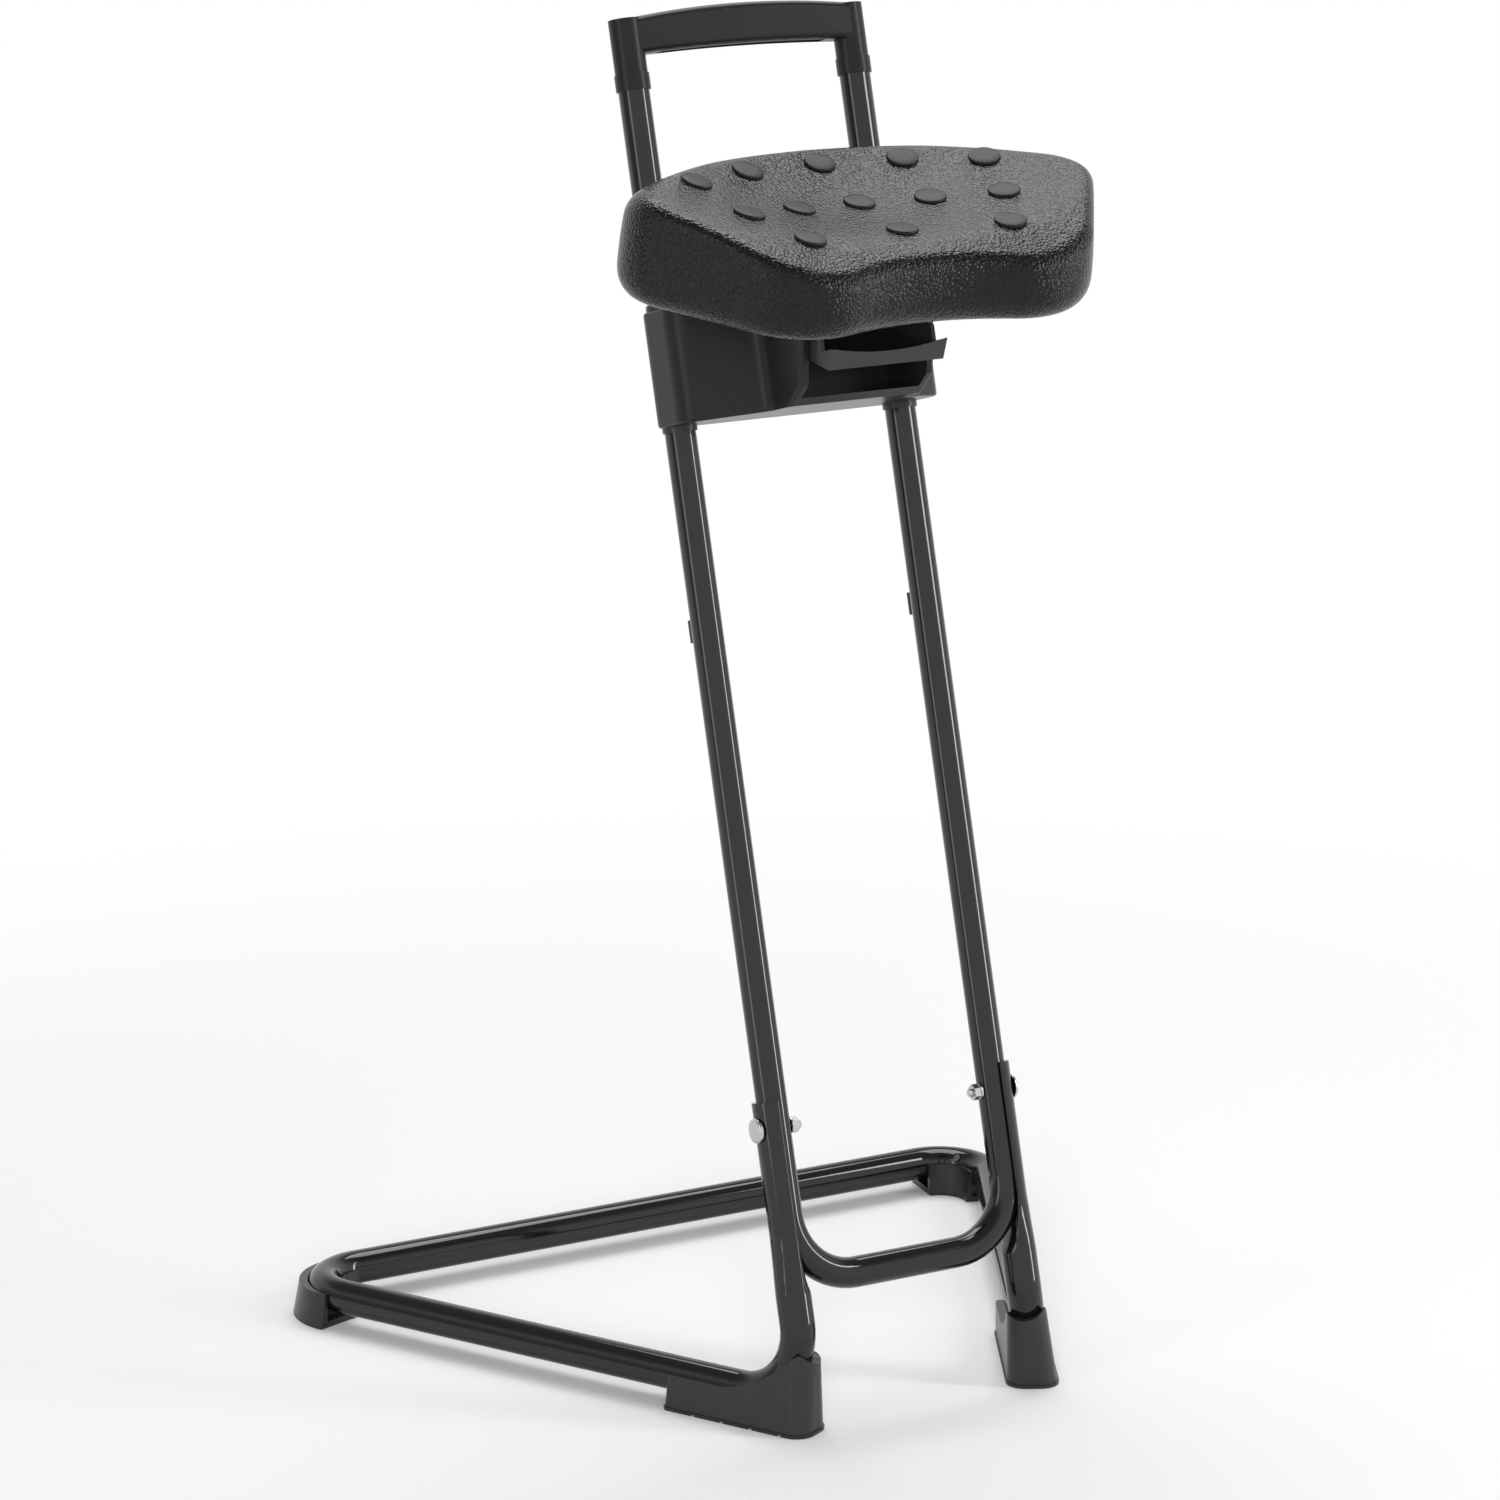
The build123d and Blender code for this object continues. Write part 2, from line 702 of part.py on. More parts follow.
def cover_screw_hole(u, t, clearance):
    face = end_radius
    sink = countersink_diameter / 2 + clearance
    hole = rod(cover_screw_diameter / 2 + clearance, (u, face + 1, t), (u, face - cover_screw_length - 1, t))
    cone = Cone(0.01, sink, sink, align=(Align.CENTER, Align.CENTER, Align.MAX))
    return hole + Pos(u, face, t) * Rot(X=-90) * cone


def lever_pin_bore(radius):
    reach = 2 * snout_half_width
    return rod(radius, (-reach, lever_pin_v, lever_pin_t), (reach, lever_pin_v, lever_pin_t))


def seat_bolt_places():
    for side in (-1, 1):
        for place in (seat_bolt_front, seat_bolt_rear):
            yield side * seat_bolt_u, place


def seat_bolt_bores(radius):
    bores = Part()
    for u, place in seat_bolt_places():
        bores += rod(radius, (u, place, -3 * pocket_roof), (u, place, seat_bolt_grip + 1))
    return seat_frame * bores


moulding = carriage_block() - carriage_hollows()
for place in cover_screw_places():
    moulding -= cover_screw_hole(*place, thread_clearance)
housing = moulding & half_space(front=True)
housing -= lever_pin_bore(lever_pin_diameter / 2 + pin_fit_clearance)
carriage_housing = column_frame * housing - seat_bolt_bores(seat_bolt_diameter / 2 + bolt_hole_clearance)
carriage_cover = column_frame * (moulding & half_space(front=False))
cover_screws = Compound(children=[column_frame * cover_screw(*place) for place in cover_screw_places()])


def guide_bush(side, upper):
    """Sleeve with a collar that stands out of the housing."""
    sleeve = Cylinder(bush_radius, bush_length, align=(Align.CENTER, Align.CENTER, Align.MIN))
    sleeve -= Cylinder(column_radius + bush_running_clearance, 4 * bush_length)
    level = carriage_top + bush_collar - bush_length if upper else carriage_base - bush_collar
    return column_frame * Pos(side * column_x, 0, level) * sleeve


# Release lever, its pin, the brake bar and the springs
def release_lever():
    """Scooped paddle with side cheeks, a hub on the pin and a tail that draws the brake bar forward."""
    lip = (lever_front_v + lever_lip_setback, lever_front_t - lever_lip_drop)
    hub_low = (lever_pin_v, lever_pin_t - lever_hub_radius)
    hub_high = (lever_pin_v, lever_pin_t + lever_hub_radius)
    top = (lever_front_v, lever_front_t)
    ear = (lever_ear_v, lever_ear_t)
    body = slab(polygon(top, lip, hub_low, hub_high, ear), -lever_half_width, lever_half_width)
    hub = rod(
        lever_hub_radius,
        (-lever_half_width, lever_pin_v, lever_pin_t),
        (lever_half_width, lever_pin_v, lever_pin_t),
    )
    scoop = polygon(
        (top[0] + lever_skin, top[1] + lever_hub_radius),
        (lip[0] + lever_skin, lip[1] + lever_skin),
        (hub_low[0] - lever_hub_radius, hub_low[1] + lever_skin),
        (hub_low[0] - lever_hub_radius, ear[1] + 4 * lever_hub_radius),
        (ear[0], ear[1] + 4 * lever_hub_radius),
    )
    cheek = lever_half_width - lever_skin
    body -= slab(scoop, -cheek, cheek)
    dip_radius = (cheek**2 + lever_dip**2) / (2 * lever_dip)
    dip_centre = lever_front_t - lever_dip + dip_radius
    body -= rod(dip_radius, (0, lever_front_v - 2, dip_centre), (0, lip[0] + 2 * lever_skin, dip_centre))
    notch_wide = tongue_half_width + lever_notch_clearance
    notch = polygon(
        (tongue_front - lever_notch_clearance, lip[1]),
        (lever_pin_v + 2 * lever_hub_radius, lip[1]),
        (lever_pin_v + 2 * lever_hub_radius, lever_pin_t),
        (tongue_front - lever_notch_clearance, lever_pin_t),
    )
    body -= slab(notch, -notch_wide, notch_wide)
    tail = polygon(
        (lever_pin_v - tail_thickness / 2, lever_pin_t),
        (lever_pin_v + tail_thickness / 2, lever_pin_t),
        (lever_pin_v + tail_thickness / 2, lever_pin_t - tail_length),
        (lever_pin_v - tail_thickness / 2, lever_pin_t - tail_length),
    )
    lever = body + hub + slab(tail, -tail_half_width, tail_half_width)
    return column_frame * (lever - lever_pin_bore(lever_pin_diameter / 2 + pin_running_clearance))


def lever_pin():
    reach = snout_half_width
    pin = rod(lever_pin_diameter / 2, (-reach, lever_pin_v, lever_pin_t), (reach, lever_pin_v, lever_pin_t))
    return column_frame * chamfer(pin.edges().filter_by(GeomType.CIRCLE), lever_pin_diameter / 12)


def brake_bar():
    """Bar across both tubes, grooved to grip them, with a tongue that the lever's tail draws forward."""
    section = polygon(
        (brake_back, brake_level - brake_height / 2),
        (brake_front, brake_level - brake_height / 2),
        (brake_front, brake_level + brake_height / 2),
        (brake_back, brake_level + brake_height / 2),
    )
    bar = slab(section, -brake_half_width, brake_half_width)
    tongue_low = lever_pin_t - tongue_drop - tongue_thickness
    tongue = polygon(
        (brake_back, tongue_low),
        (tongue_front, tongue_low),
        (tongue_front, tongue_low + tongue_thickness),
        (brake_back, tongue_low + tongue_thickness),
    )
    bar += slab(tongue, -tongue_half_width, tongue_half_width)
    slot_front = lever_pin_v - tail_thickness / 2 - tongue_slot_clearance
    slot_back = lever_pin_v + tail_thickness / 2 + tongue_slot_clearance + brake_travel
    slot = polygon(
        (slot_front, tongue_low - 1),
        (slot_back, tongue_low - 1),
        (slot_back, tongue_low + tongue_thickness + 1),
        (slot_front, tongue_low + tongue_thickness + 1),
    )
    slot_wide = tail_half_width + tongue_slot_clearance
    bar -= slab(slot, -slot_wide, slot_wide)
    for side in (-1, 1):
        bar -= Pos(side * column_x, 0, 0) * Cylinder(column_radius + brake_running_clearance, 4 * carriage_top)
    return column_frame * bar


def brake_spring(side):
    """Compression spring in front of the brake bar, drawn at its pressed length."""
    coil_radius = (spring_diameter - spring_wire) / 2
    run = spring_length - spring_wire - 2 * seat_gap
    helix = Helix(run / spring_turns, run, coil_radius)
    wire = sweep(Plane(origin=helix @ 0, z_dir=helix % 0) * Circle(spring_wire / 2), path=helix, is_frenet=True)
    place = Pos(side * spring_u, brake_front - spring_wire / 2 - seat_gap, brake_level) * Rot(X=90)
    return column_frame * place * wire


# Seat: outline of tangent arcs, lofted with drawn-in sides, under a dished and rolled top
def seat_radii():
    """Radius of the rear arc, tangent to the rear corners, and of the notch, tangent to the lobes."""
    side_x = seat_side_x - seat_side_radius
    behind = seat_side_y - seat_rear
    rear = (seat_side_radius**2 - side_x**2 - behind**2) / (2 * (behind + seat_side_radius))
    notch = (seat_lobe_x**2 + seat_lobe_y**2 - seat_lobe_radius**2) / (2 * (seat_lobe_radius - seat_lobe_y))
    return rear, notch


def seat_outline(grow):
    """Outline of tangent arcs and straight sides, offset outward by grow; every arc keeps its centre."""
    rear, notch = seat_radii()
    side = Vector(seat_side_x - seat_side_radius, seat_side_y)
    lobe = Vector(seat_lobe_x, seat_lobe_y)
    rear_centre = Vector(0, seat_rear - rear)
    notch_centre = Vector(0, -notch)
    side_radius = seat_side_radius + grow
    lobe_radius = seat_lobe_radius + grow
    gap = lobe - side
    tilt = atan2(gap.Y, gap.X) + acos((seat_side_radius - seat_lobe_radius) / gap.length)
    flank = Vector(cos(tilt), sin(tilt))
    rear_join = (side - rear_centre).normalized()
    lobe_join = (lobe - notch_centre).normalized()
    rear_point = rear_centre + rear_join * (rear + grow)
    notch_point = notch_centre + lobe_join * (notch - grow)
    side_middle = side + (rear_join + flank).normalized() * side_radius
    side_point = side + flank * side_radius
    lobe_point = lobe + flank * lobe_radius
    lobe_middle = lobe + (flank - lobe_join).normalized() * lobe_radius
    right = [
        ThreePointArc(rear_point, side_middle, side_point),
        Line(side_point, lobe_point),
        ThreePointArc(lobe_point, lobe_middle, notch_point),
    ]
    left = [mirror(edge, about=Plane.YZ) for edge in right]
    back = ThreePointArc(other_side(rear_point), Vector(0, seat_rear + grow), rear_point)
    front = ThreePointArc(notch_point, Vector(0, -grow), other_side(notch_point))
    return make_face([back, *right, front, *left])


def dish_height(x, y):
    """Height of the dished sitting surface above the seat's underside."""
    along = (y - dish_centre) ** 2 / (2 * dish_length_radius)
    return dish_floor + along + x**2 / (2 * dish_width_radius)


def dish_cutter():
    """Everything above the sitting surface: an arc along the seat turned about an axis far above it."""
    reach = 0.8 * dish_length_radius
    end_height = dish_length_radius - sqrt(dish_length_radius**2 - reach**2)
    low = (dish_centre, dish_floor)
    front = (dish_centre - reach, dish_floor + end_height)
    rear = (dish_centre + reach, dish_floor + end_height)
    bowl = make_face([ThreePointArc(front, low, rear), Line(rear, front)])
    axis = Axis((0, dish_centre, dish_floor + dish_width_radius), (0, 1, 0))
    sweep_angle = 2 * degrees(asin(seat_side_x / dish_width_radius)) + 10
    upright_bowl = Plane((0, 0, 0), x_dir=(0, 1, 0), z_dir=(1, 0, 0)) * bowl
    return revolve(upright_bowl.rotate(axis, -sweep_angle / 2), axis, sweep_angle)


def crown():
    """Side view of the seat with its front and rear rolls, pushed across the seat."""
    floor = -under_roll
    side = make_face(
        [
            Line((crown_nose[0], floor), crown_nose),
            ThreePointArc(crown_nose, crown_roll, crown_front),
            ThreePointArc(crown_front, crown_shoulder, crown_top),
            Line(crown_top, crown_back),
            ThreePointArc(crown_back, crown_tail_roll, crown_tail),
            Polyline(crown_tail, (crown_tail[0], floor), (crown_nose[0], floor)),
        ]
    )
    return slab(side, -2 * seat_side_x, 2 * seat_side_x)


def seat_level(height, slope, grow):
    """One section of the seat's sides, flat near the underside and sloped like the rim above."""
    return Pos(0, 0, height) * Rot(X=degrees(atan2(slope, 1))) * seat_outline(grow)


def nub_places():
    """Three bowed rows of nubs, each with its middle, then pairs set out and forward of it."""
    for middle, *pairs in nub_rows:
        yield 0.0, middle
        for out, ahead in zip(pairs[0::2], pairs[1::2]):
            yield -out, middle - ahead
            yield out, middle - ahead


def nub(x, y):
    """Flat round nub standing square to the dished surface."""
    tilt_x = degrees(atan2(y - dish_centre, dish_length_radius))
    tilt_y = -degrees(atan2(x, dish_width_radius))
    disc = Cylinder(nub_diameter / 2, 4 * nub_height)
    disc = fillet(disc.edges().group_by(Axis.Z)[-1], nub_height / 3)
    return Pos(x, y, dish_height(x, y) - nub_height) * Rot(X=tilt_x) * Rot(Y=tilt_y) * disc


def seat_body():
    levels = (
        (0.0, 0.0, -0.8 * under_roll),
        (0.15 * under_roll, 0.0, -0.42 * under_roll),
        (0.45 * under_roll, 0.0, -0.13 * under_roll),
        (under_roll, 0.0, 0.0),
        (0.62 * rim_front, 0.55 * rim_slope, 0.0),
        (0.84 * rim_front, 0.85 * rim_slope, -0.3 * rim_inset),
        (rim_front, rim_slope, -rim_inset),
        (rim_front + 0.8 * rim_inset, rim_slope, -2.4 * rim_inset),
    )
    sides = loft([seat_level(*level) for level in levels])
    body = (sides & crown()) - dish_cutter()
    for place in nub_places():
        body += nub(*place)
    wide = 2 * (plate_half_width + plate_clearance)
    long = plate_rear - plate_front + 2 * plate_clearance
    recess = RectangleRounded(wide, long, plate_corner)
    body -= Pos(0, (plate_front + plate_rear) / 2, 0) * extrude(recess, plate_thickness + plate_clearance)
    return seat_frame * body - seat_bolt_bores(seat_bolt_diameter / 2 + thread_clearance)


def seat_plate():
    outline = RectangleRounded(2 * plate_half_width, plate_rear - plate_front, plate_corner)
    plate = Pos(0, (plate_front + plate_rear) / 2, 0) * extrude(outline, plate_thickness)
    return seat_frame * plate - seat_bolt_bores(seat_bolt_diameter / 2 + bolt_hole_clearance)


def seat_bolt(u, place):
    """Button-head bolt from the pocket roof up into the seat."""
    seat_level = -pocket_roof
    head = rod(seat_bolt_head / 2, (u, place, seat_level - seat_bolt_head_height), (u, place, seat_level))
    head = fillet(head.edges().group_by(Axis.Z)[0], seat_bolt_head_height * 0.6)
    return seat_frame * (head + rod(seat_bolt_diameter / 2, (u, place, seat_level), (u, place, seat_bolt_grip)))


parts = {
    "base_frame": base_frame,
    "front_foot_left": mirror(front_foot_right, about=Plane.YZ),
    "front_foot_right": front_foot_right,
    "rear_foot_left": mirror(rear_foot_right, about=Plane.YZ),
    "rear_foot_right": rear_foot_right,
    "rear_foot_screws": both_sides(rear_screw_right),
    "column_tube": column_tube,
    "frame_bolts": both_sides(column_frame * frame_bolt()),
    "frame_washers": both_sides(column_frame * frame_washer()),
    "frame_nuts": both_sides(column_frame * frame_nut()),
    "travel_stop_left": mirror(travel_stop(), about=Plane.YZ),
    "travel_stop_right": travel_stop(),
    "stop_screws": both_sides(stop_screw),
    "carry_handle": carry_handle(),
    "handle_screws": both_sides(handle_screw),
    "carriage_housing": carriage_housing,
    "carriage_cover": carriage_cover,
    "cover_screws": cover_screws,
    "upper_bush_left": guide_bush(-1, upper=True),
    "upper_bush_right": guide_bush(1, upper=True),
    "lower_bush_left": guide_bush(-1, upper=False),
    "lower_bush_right": guide_bush(1, upper=False),
    "release_lever": release_lever(),
    "lever_pin": lever_pin(),
    "brake_bar": brake_bar(),
    "brake_spring_left": brake_spring(-1),
    "brake_spring_right": brake_spring(1),
    "seat_plate": seat_plate(),
    "seat_bolts": Compound(children=[seat_bolt(*place) for place in seat_bolt_places()]),
    "seat": seat_body(),
}

os.makedirs("parts", exist_ok=True)
for name, shape in parts.items():
    export_step(shape, f"parts/{name}.step")
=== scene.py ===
import json
import math

import bmesh
import bpy
from mathutils import Euler, Matrix, Vector


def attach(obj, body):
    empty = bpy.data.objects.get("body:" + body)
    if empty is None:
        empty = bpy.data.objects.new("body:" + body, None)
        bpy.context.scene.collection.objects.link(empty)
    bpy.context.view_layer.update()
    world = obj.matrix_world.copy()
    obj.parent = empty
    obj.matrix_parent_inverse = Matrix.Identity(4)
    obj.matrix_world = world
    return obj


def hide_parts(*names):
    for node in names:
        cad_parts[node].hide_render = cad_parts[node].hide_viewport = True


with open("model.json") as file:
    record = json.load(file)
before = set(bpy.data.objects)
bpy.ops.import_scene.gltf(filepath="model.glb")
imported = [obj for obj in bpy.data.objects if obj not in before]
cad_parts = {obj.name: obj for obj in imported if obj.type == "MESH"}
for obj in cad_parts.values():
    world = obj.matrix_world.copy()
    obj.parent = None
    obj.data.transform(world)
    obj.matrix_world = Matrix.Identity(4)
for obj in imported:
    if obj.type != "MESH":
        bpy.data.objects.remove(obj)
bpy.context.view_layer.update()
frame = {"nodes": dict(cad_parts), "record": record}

# Scene sizes are in metres; the seat's own sizes are in millimetres, in the seat's tilted frame
MM = 0.001

# Camera, as the photograph was taken
CAMERA_PLACE = (-1.9871, -3.4439, 1.4486)
CAMERA_PITCH = 75.66
CAMERA_TURN = -29.70
CAMERA_LENS = 137.95
CAMERA_REACH = 60.0
SENSOR = 36.0

# Seat: place of its front notch on the underside, and its tilt to the rear
SEAT_PLACE = (0.0, -0.2073, 0.7688)
SEAT_TILT = 9.7
SEAT_REAR = 190.8
CORNER_X = 134.7
CORNER_Y = 104.9
CORNER_RADIUS = 45.4
LOBE_X = 80.6
LOBE_Y = 52.1
LOBE_RADIUS = 64.4

# Seat: underside roll, wall and dished top
UNDER_INSET = 16.0
UNDER_ROLL = 20.0
WALL_LEAN = 1.5
DISH_FLOOR = 53.3
DISH_MIDDLE = 77.9
DISH_LENGTH_RADIUS = 314.0
DISH_WIDTH_RADIUS = 500.0
DISH_BLEND = 11.0
RIM_ZONE = 36.0
POLE = (0.0, 107.8)

# Crown that limits the dish: distance behind the front edge, height. The sides lead the middle.
CROWN = (
    (-40.0, 32.0), (-7.0, 44.0), (10.0, 49.5), (39.0, 57.5), (60.0, 62.0),
    (95.0, 68.0), (130.0, 72.5), (150.0, 75.5), (175.0, 78.5), (230.0, 80.0),
)
SIDE_LEAD = 0.5
SIDE_BLEND = 20.0

# Rolled edge: station along the half outline from the notch to the rear, from 0 to 1, and its radius
ROLLS = (
    (0.0, 10.0), (0.14, 11.0), (0.22, 11.0), (0.31, 9.5), (0.45, 8.5), (0.50, 13.0),
    (0.56, 23.0), (0.62, 28.0), (0.70, 23.0), (0.82, 15.0), (1.0, 12.0),
)

# Nubs on the seat: outline from the root to the middle as radius and height, then their places, rear row
# first, on the middle line and the right half
NUB_PROFILE = ((11.2, -2.5), (11.2, 1.3), (11.0, 1.75), (10.5, 2.0), (5.6, 2.15))
NUBS = (
    (0.0, 164.1), (61.6, 156.0), (114.1, 133.7),
    (0.0, 107.8), (51.8, 100.3), (100.5, 83.8),
    (0.0, 50.2), (78.4, 38.8),
)

# How finely the seat is divided
OUTLINE_STEP = 3.6
WALL_ROWS = 8
ROLL_ROWS = 8
RIM_ROWS = 8
DISH_ROWS = 22
UNDER_ROWS = 6
NUB_SIDES = 56


def smooth_min(a, b, width):
    """Lower of two heights, rounded where they cross."""
    near = max(width - abs(a - b), 0.0) / width
    return min(a, b) - near * near * width / 4


def curve_at(points, place):
    """Height of a smooth curve through points, each slope taken from its neighbours."""
    last = len(points) - 1
    i = max(k for k in range(last) if k == 0 or place >= points[k][0])

    def slope(k):
        (x0, y0), (x1, y1) = points[max(k - 1, 0)], points[min(k + 1, last)]
        return (y1 - y0) / (x1 - x0)

    (x0, y0), (x1, y1) = points[i], points[i + 1]
    run = x1 - x0
    t = (place - x0) / run
    start = y0 * (1 + 2 * t) + slope(i) * run * t
    end = y1 * (3 - 2 * t) + slope(i + 1) * run * (t - 1)
    return start * (1 - t) ** 2 + end * t**2


def half_outline():
    """Points of the right half from the notch to the rear, each with its outward normal and station."""
    corner, lobe = Vector((CORNER_X, CORNER_Y)), Vector((LOBE_X, LOBE_Y))
    rise = SEAT_REAR - CORNER_RADIUS
    rear_radius = CORNER_RADIUS + (CORNER_X**2 + (rise - CORNER_Y) ** 2) / (2 * (rise - CORNER_Y))
    rear = Vector((0, SEAT_REAR - rear_radius))
    notch_radius = (LOBE_X**2 + LOBE_Y**2 - LOBE_RADIUS**2) / (2 * (LOBE_RADIUS - LOBE_Y))
    notch = Vector((0, -notch_radius))
    gap = lobe - corner
    tilt = math.atan2(gap.y, gap.x) + math.acos((CORNER_RADIUS - LOBE_RADIUS) / gap.length)
    to_lobe = lobe - notch
    to_corner = corner - rear
    notch_end = math.atan2(to_lobe.y, to_lobe.x)
    rear_start = math.atan2(to_corner.y, to_corner.x)
    arcs = (
        (notch, notch_radius, math.pi / 2, notch_end, -1),
        (lobe, LOBE_RADIUS, notch_end - math.pi, tilt, 1),
        (corner, CORNER_RADIUS, tilt, rear_start, 1),
        (rear, rear_radius, rear_start, math.pi / 2, 1),
    )
    points = []
    for centre, radius, start, end, way in arcs:
        if points:
            first = centre + radius * Vector((math.cos(start), math.sin(start)))
            run = first - points[-1][0]
            steps = int(run.length / OUTLINE_STEP)
            points += [(points[-1][0] + run * (i / steps), points[-1][1]) for i in range(1, steps)]
        steps = max(4, round(abs(end - start) * radius / OUTLINE_STEP))
        for i in range(steps):
            a = start + (end - start) * i / steps
            out = Vector((math.cos(a), math.sin(a)))
            points.append((centre + radius * out, out * way))
    points.append((Vector((0, SEAT_REAR)), Vector((0, 1))))
    lengths = [0.0]
    for (a, _), (b, _) in zip(points, points[1:]):
        lengths.append(lengths[-1] + (b - a).length)
    return [(p, n, s / lengths[-1]) for (p, n), s in zip(points, lengths)]


def dish(x, y):
    """Height of the dish alone, curved along and across the seat."""
    along = (y - DISH_MIDDLE) ** 2 / (2 * DISH_LENGTH_RADIUS)
    across = x * x / (2 * DISH_WIDTH_RADIUS)
    return DISH_FLOOR + along + across


def seat_top(x, y):
    """Height of the sitting surface: the dish, cut off by a crown that falls to the front."""
    past = abs(x) - LOBE_X
    lead = SIDE_LEAD * (past + math.hypot(past, SIDE_BLEND)) / 2
    return smooth_min(dish(x, y), curve_at(CROWN, y + lead), DISH_BLEND)


def column_of(point, normal, station):
    """One strip of the seat's skin, from under its middle, round the wall, to the middle of the top."""
    roll = curve_at(ROLLS, station)
    pole = Vector(POLE)
    strip = []
    foot = point - normal * UNDER_INSET
    for i in range(1, UNDER_ROWS + 1):
        strip.append((*pole.lerp(foot, i / UNDER_ROWS), 0.0))
    for i in range(1, ROLL_ROWS + 1):
        a = math.pi / 2 * i / ROLL_ROWS
        place = point - normal * UNDER_INSET * (1 - math.sin(a))
        strip.append((*place, UNDER_ROLL * (1 - math.cos(a))))
    wall_top = seat_top(*(point - normal * WALL_LEAN)) - roll
    for i in range(1, WALL_ROWS + 1):
        t = i / WALL_ROWS
        place = point - normal * WALL_LEAN * t * t
        strip.append((*place, UNDER_ROLL + (wall_top - UNDER_ROLL) * t))
    for i in range(1, ROLL_ROWS + 1):
        a = math.pi / 2 * i / ROLL_ROWS
        place = point - normal * (WALL_LEAN + roll * (1 - math.cos(a)))
        strip.append((*place, seat_top(*place) - roll * (1 - math.sin(a))))
    edge = WALL_LEAN + roll
    zone = point - normal * RIM_ZONE
    places = [point - normal * (edge + (RIM_ZONE - edge) * i / RIM_ROWS) for i in range(1, RIM_ROWS + 1)]
    places += [zone.lerp(pole, i / DISH_ROWS) for i in range(1, DISH_ROWS)]
    return strip + [(*place, seat_top(*place)) for place in places]


def seat_frame():
    """From the seat's own millimetres to the scene."""
    tilt = Matrix.Rotation(math.radians(SEAT_TILT), 4, "X")
    return Matrix.Translation(SEAT_PLACE) @ tilt @ Matrix.Scale(MM, 4)


def new_piece(name, bm, material):
    """Mesh object from a bmesh in the seat's frame, smooth shaded, with its material."""
    bm.transform(seat_frame())
    bmesh.ops.recalc_face_normals(bm, faces=bm.faces)
    mesh = bpy.data.meshes.new(name)
    bm.to_mesh(mesh)
    bm.free()
    mesh.shade_smooth()
    mesh.materials.append(material)
    piece = bpy.data.objects.new(name, mesh)
    bpy.context.scene.collection.objects.link(piece)
    return piece


def seat_cushion(material):
    """The seat's whole skin, closed underneath."""
    half = half_outline()
    mirrored = [(Vector((-p.x, p.y)), Vector((-n.x, n.y)), s) for p, n, s in half[-2:0:-1]]
    strips = [column_of(*station) for station in half + mirrored]
    bm = bmesh.new()
    grid = [[bm.verts.new(place) for place in strip] for strip in strips]
    under = bm.verts.new((*POLE, 0.0))
    crest = bm.verts.new((*POLE, seat_top(*POLE)))
    for a, b in zip(grid, grid[1:] + grid[:1]):
        bm.faces.new((under, b[0], a[0]))
        bm.faces.new((crest, a[-1], b[-1]))
        for i in range(len(a) - 1):
            bm.faces.new((a[i], b[i], b[i + 1], a[i + 1]))
    piece = new_piece("seat_cushion", bm, material)
    piece.modifiers.new("finer", "SUBSURF").render_levels = 1
    return piece


def on_seat(x, y):
    """Place on the sitting surface, turned to stand square on it."""
    step = 1.0
    slope_x = seat_top(x + step, y) - seat_top(x - step, y)
    slope_y = seat_top(x, y + step) - seat_top(x, y - step)
    normal = Vector((-slope_x, -slope_y, 2 * step)).normalized()
    turn = normal.to_track_quat("Z", "Y").to_matrix().to_4x4()
    return Matrix.Translation((x, y, seat_top(x, y))) @ turn


def seat_nubs(material):
    """Low discs that stand on the sitting surface and lean with it."""
    turns = [2 * math.pi * i / NUB_SIDES for i in range(NUB_SIDES)]
    bm = bmesh.new()
    for x, y in [(side * x, y) for x, y in NUBS for side in ((1, -1) if x else (1,))]:
        place = on_seat(x, y)
        rings = []
        for radius, height in NUB_PROFILE:
            ring = [Vector((radius * math.cos(a), radius * math.sin(a), height)) for a in turns]
            rings.append([bm.verts.new(place @ point) for point in ring])
        bm.faces.new(rings[0])
        for low, high in zip(rings, rings[1:]):
            for i in range(NUB_SIDES):
                j = (i + 1) % NUB_SIDES
                bm.faces.new((low[i], low[j], high[j], high[i]))
        bm.faces.new(rings[-1])
    return new_piece("seat_nubs", bm, material)


def new_material(name, metallic=0.0, specular=0.5):
    """Material with a Principled shader."""
    made = bpy.data.materials.new(name)
    made.use_nodes = True
    shader = made.node_tree.nodes["Principled BSDF"]
    shader.inputs["Metallic"].default_value = metallic
    shader.inputs["Specular IOR Level"].default_value = specular
    return made


def pattern(made, kind, scale, **settings):
    """Procedural texture in the object's own metres."""
    nodes, links = made.node_tree.nodes, made.node_tree.links
    places = nodes.new("ShaderNodeTexCoord")
    made_pattern = nodes.new(kind)
    made_pattern.inputs["Scale"].default_value = scale
    for key, value in settings.items():
        if key in made_pattern.inputs:
            made_pattern.inputs[key].default_value = value
        else:
            setattr(made_pattern, key, value)
    links.new(places.outputs["Object"], made_pattern.inputs["Vector"])
    return made_pattern.outputs[0]


